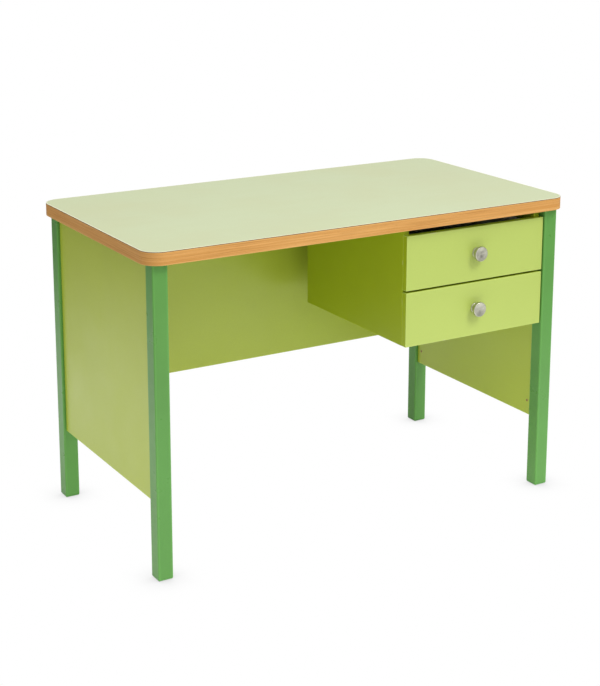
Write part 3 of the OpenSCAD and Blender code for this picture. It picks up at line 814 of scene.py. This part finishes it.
def measured(points):
    """A screw's outer end, direction, length, head and kind, from its points in the CAD."""
    low, high = points.min(0), points.max(0)
    axis = int(np.argmax(high - low))
    middle = (low + high) / 2
    across = points - middle
    across[:, axis] = 0
    radii = np.linalg.norm(across, axis=1)
    head_radius = radii.max()
    at_low = points[:, axis] < low[axis] + SLACK
    sign = 1 if radii[at_low].max() > head_radius - SLACK else -1
    origin, direction = Vector(middle), Vector((0, 0, 0))
    origin[axis], direction[axis] = (low if sign > 0 else high)[axis], sign
    depth = np.abs(points[:, axis] - origin[axis])
    head_height = depth[(radii < SHANK + SLACK) & (depth > SLACK)].min()
    pan = bool((radii[np.abs(depth - head_height) < SLACK] > SHANK + PAN_STEP).any())
    return origin, direction, (high - low)[axis], head_radius, head_height, pan


def screws(node):
    """Each screw of a CAD node, turned at random about its own axis."""
    bm = bmesh.new()
    vertex_layer(bm, "deep")
    for points in islands(node):
        if np.ptp(points, axis=0).max() < SHORTEST_SCREW:
            continue
        origin, direction, *sizes = measured(points)
        turn = Matrix.Rotation(turns.uniform(0, math.pi), 4, "Z")
        screw(bm, frame_on(origin, direction) @ turn, *sizes)
    show(bm, node)


# ----------------------------------------------------------------- rollers

ROLLER_PROFILE = (
    # radius and height in mm: bore, hub, web and rim, then the same on the other side
    (2.05, 0.3), (2.35, 0.0), (4.6, 0.0), (5.0, 0.9), (8.0, 0.9), (8.5, 0.0), (9.8, 0.0),
    (10.5, 0.7), (10.5, 6.3), (9.8, 7.0), (8.5, 7.0), (8.0, 6.1), (5.0, 6.1), (4.6, 7.0),
    (2.35, 7.0), (2.05, 6.7),
)
ROLLER_COUNT = 48


def rollers(node):
    """A pair of nylon rollers, each about an axis along X."""
    bm = bmesh.new()
    for points in islands(node):
        low, high = Vector(points.min(0)), Vector(points.max(0))
        place = frame_on((low.x, (low.y + high.y) / 2, (low.z + high.z) / 2), (1, 0, 0))
        rings = [circle(place, r * MM, z * MM, ROLLER_COUNT) for r, z in ROLLER_PROFILE]
        loft(bm, rings, joined=True)
    show(bm, node)


# ----------------------------------------------------------------- runners

SHEET = 1.2 * MM
OUTER_BEND = 1.4 * MM
INNER_BEND = 0.4 * MM
# From the cabinet's side to the drawer's side
RUNNER_SPACE = 12.5 * MM
# From the cabinet's side to the end of a channel's flanges, and to a drawer runner's lip
CHANNEL_LIP = 10.4 * MM
SLIDE_LIP = 1.8 * MM
# How far a channel's upper flange is cut back at the front, and reaches down the web
CHANNEL_NOTCH = 34 * MM
CHANNEL_TURN = 4 * MM


def section(outer, inner):
    """The section of a folded strip, from the two sides of its sheet."""
    return rounded_profile(outer, OUTER_BEND) + rounded_profile(inner, INNER_BEND)[::-1]


def strip(bm, outline, start, stop, side, wall_x, base_z):
    """Runs a section along Y, from its distances off the cabinet's side and its heights."""
    rings = [[(wall_x - side * u, y, base_z + w) for u, w in outline] for y in (start, stop)]
    loft(bm, rings, caps=True)


def cabinet_runners(node):
    """Two channels, each with its upper flange cut back for the roller."""
    low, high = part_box(node)
    top = high.z - low.z
    turn = top - CHANNEL_TURN
    lower = section(
        [(0, top - SHEET), (0, 0), (CHANNEL_LIP, 0)],
        [(SHEET, top - SHEET), (SHEET, SHEET), (CHANNEL_LIP, SHEET)],
    )
    upper = section(
        [(0, turn), (0, top), (CHANNEL_LIP, top)],
        [(SHEET, turn), (SHEET, top - SHEET), (CHANNEL_LIP, top - SHEET)],
    )
    bm = bmesh.new()
    for side, wall_x in ((LEFT, low.x), (RIGHT, high.x)):
        strip(bm, lower, low.y, high.y, side, wall_x, low.z)
        strip(bm, upper, low.y + CHANNEL_NOTCH, high.y, side, wall_x, low.z)
    show(bm, node)


def drawer_runner(node, side):
    """A foot under the drawer's side, a web, and a lip that rides on the roller."""
    low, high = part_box(node)
    top = high.z - low.z
    foot = SLIDE_LIP + high.x - low.x
    web = RUNNER_SPACE - SHEET
    outline = section(
        [(SLIDE_LIP, top), (RUNNER_SPACE, top), (RUNNER_SPACE, SHEET), (foot, SHEET)],
        [(SLIDE_LIP, top - SHEET), (web, top - SHEET), (web, 0), (foot, 0)],
    )
    wall_x = low.x - SLIDE_LIP if side < 0 else high.x + SLIDE_LIP
    bm = bmesh.new()
    strip(bm, outline, low.y, high.y, side, wall_x, low.z)
    show(bm, node)


# -------------------------------------------------------------- everything


def build():
    """The finished pieces, and then a material on every CAD node."""
    worktop()
    for node in LEGS:
        leg(node)
    leg_caps("leg_foot_caps", FOOT_STEPS)
    leg_caps("leg_top_caps", TOP_CAP_STEPS)
    for node, radius in BOARDS:
        board(node, radius * MM)
    for kind in ("panel", "worktop_bracket", "cabinet_rail", "cabinet_runner"):
        screws(f"{kind}_screws")
    for level in LEVELS:
        for part, radius in DRAWER_BOARDS:
            board(f"{level}_{part}", radius * MM)
        knob(f"{level}_drawer_knob")
        for part in ("drawer_knob_screw", "drawer_screws", "drawer_runner_screws"):
            screws(f"{level}_{part}")
        rollers(f"{level}_front_rollers")
        rollers(f"{level}_rear_rollers")
        cabinet_runners(f"{level}_cabinet_runners")
        drawer_runner(f"{level}_drawer_left_runner", LEFT)
        drawer_runner(f"{level}_drawer_right_runner", RIGHT)
    for node, kept in NODES.items():
        kept.data.materials.clear()
        kept.data.materials.append(MATERIALS[SLOT_OF[node]])


# ------------------------------------------------------------------ studio

FLOOR_REACH = 9.0
FLOOR_LEVEL = -0.0004
# The floor's colour near and far, and the distances over which the one becomes the other
PAPER, PAPER_FAR = (0.88, 0.88, 0.87), (0.22, 0.22, 0.22)
PAPER_FADE = (1.4, 2.7)
# The glow that the near floor throws up, and the lesser one under the desk
FLOOR_GLOW, SHADED_GLOW = 0.48, 0.15
# Where the lesser glow sets in, along X and along Y
SHADE_X = (-0.80, -0.45)
SHADE_Y = (-0.45, 0.25)
# How bright the camera sees the floor at a foot, and the shares of open air over the
# floor, within the reach, at which that shadow is full and at which it ends
FOOT_SHADOW = 0.70
FOOT_SHADOW_OPEN = (0.3, 0.95)
FOOT_SHADOW_REACH = 0.09
BLACK, WHITE = (0.0, 0.0, 0.0), (1.0, 1.0, 1.0)
# The sky is brightest along its aim; the fade is in cosines of the angle to it
SKY_LOW, SKY_HIGH = 0.36, 0.95
SKY_AIM = (0.55, -0.70, 0.45)
SKY_FADE = (-0.9, 0.9)
# Where the lights point
LIGHT_AIM = (0, 0, 0.45)
# Name, place and size in m, and power in W
LIGHTS = (
    ("key", (1.2, -3.55, 4.6), 1.8, 129),
    ("overhead", (-1.0, -0.4, 3.1), 2.0, 9),
)


def floor():
    """A pale floor with a glow for its bounced light. The camera sees it as plain white,
    but for the shadows at the feet."""
    corners = [(sx * FLOOR_REACH, sy * FLOOR_REACH, FLOOR_LEVEL) for sx, sy in CORNER_SIGNS]
    mesh = bpy.data.meshes.new("floor")
    mesh.from_pydata(corners, [], [range(len(corners))])
    piece = bpy.data.objects.new("floor", mesh)
    bpy.context.scene.collection.objects.link(piece)
    g = Finish("floor")
    place = g.place()
    seen = g.node("ShaderNodeLightPath").outputs["Is Camera Ray"]
    away = g.node("ShaderNodeVectorMath", operation="LENGTH")
    g.link(place, away.inputs[0])
    distance = away.outputs["Value"]
    paper = g.mix(g.spread(distance, *PAPER_FADE), PAPER, PAPER_FAR)
    g.surface(g.mix(seen, paper, BLACK), 0.9, g.bump(g.noise(place, 30, 4), 0.2 * MM, 0.2))

    nearby = g.node("ShaderNodeAmbientOcclusion")
    nearby.inputs["Distance"].default_value = FOOT_SHADOW_REACH
    shown = g.spread(nearby.outputs["AO"], *FOOT_SHADOW_OPEN, FOOT_SHADOW, 1.0)
    spot = g.node("ShaderNodeSeparateXYZ")
    g.link(place, spot.inputs[0])
    under = g.times(g.spread(spot.outputs["X"], *SHADE_X), g.spread(spot.outputs["Y"], *SHADE_Y))
    near = g.spread(distance, *PAPER_FADE, 1.0, 0.0)
    glow = g.times(near, g.spread(under, 0.0, 1.0, FLOOR_GLOW, SHADED_GLOW))
    g.feed(g.shader.inputs["Emission Color"], g.mix(seen, glow, shown))
    g.constants(Emission_Strength=1.0, Specular_IOR_Level=0.0)
    mesh.materials.append(g.material)


def sky():
    """Soft room light, brighter from the front right; the camera sees plain white."""
    world = bpy.data.worlds.new("studio")
    bpy.context.scene.world = world
    g = Graph(world)
    facing = g.node("ShaderNodeVectorMath", operation="DOT_PRODUCT")
    g.link(g.node("ShaderNodeTexCoord").outputs["Generated"], facing.inputs[0])
    facing.inputs[1].default_value = Vector(SKY_AIM).normalized()
    level = g.spread(facing.outputs["Value"], *SKY_FADE, SKY_LOW, SKY_HIGH)
    level.node.interpolation_type = "SMOOTHSTEP"
    room, white = g.node("ShaderNodeBackground"), g.node("ShaderNodeBackground")
    g.link(level, room.inputs["Strength"])
    for background in (room, white):
        g.feed(background.inputs["Color"], WHITE)
    choose = g.node("ShaderNodeMixShader")
    g.link(g.node("ShaderNodeLightPath").outputs["Is Camera Ray"], choose.inputs["Fac"])
    g.link(room.outputs["Background"], choose.inputs[1])
    g.link(white.outputs["Background"], choose.inputs[2])
    g.link(choose.outputs["Shader"], g.node("ShaderNodeOutputWorld").inputs["Surface"])


def softbox(name, place, size, power):
    """A square area light that faces the desk."""
    data = bpy.data.lights.new(name, "AREA")
    data.size = size
    data.energy = power
    light = bpy.data.objects.new(name, data)
    light.location = place
    light.rotation_euler = (Vector(LIGHT_AIM) - Vector(place)).to_track_quat("-Z", "Y").to_euler()
    bpy.context.scene.collection.objects.link(light)


def studio():
    floor()
    sky()
    for light in LIGHTS:
        softbox(*light)
    bpy.context.scene.view_settings.view_transform = "Standard"


# ------------------------------------------------------------------ script

make_camera()
build()
studio()

bpy.context.view_layer.update()
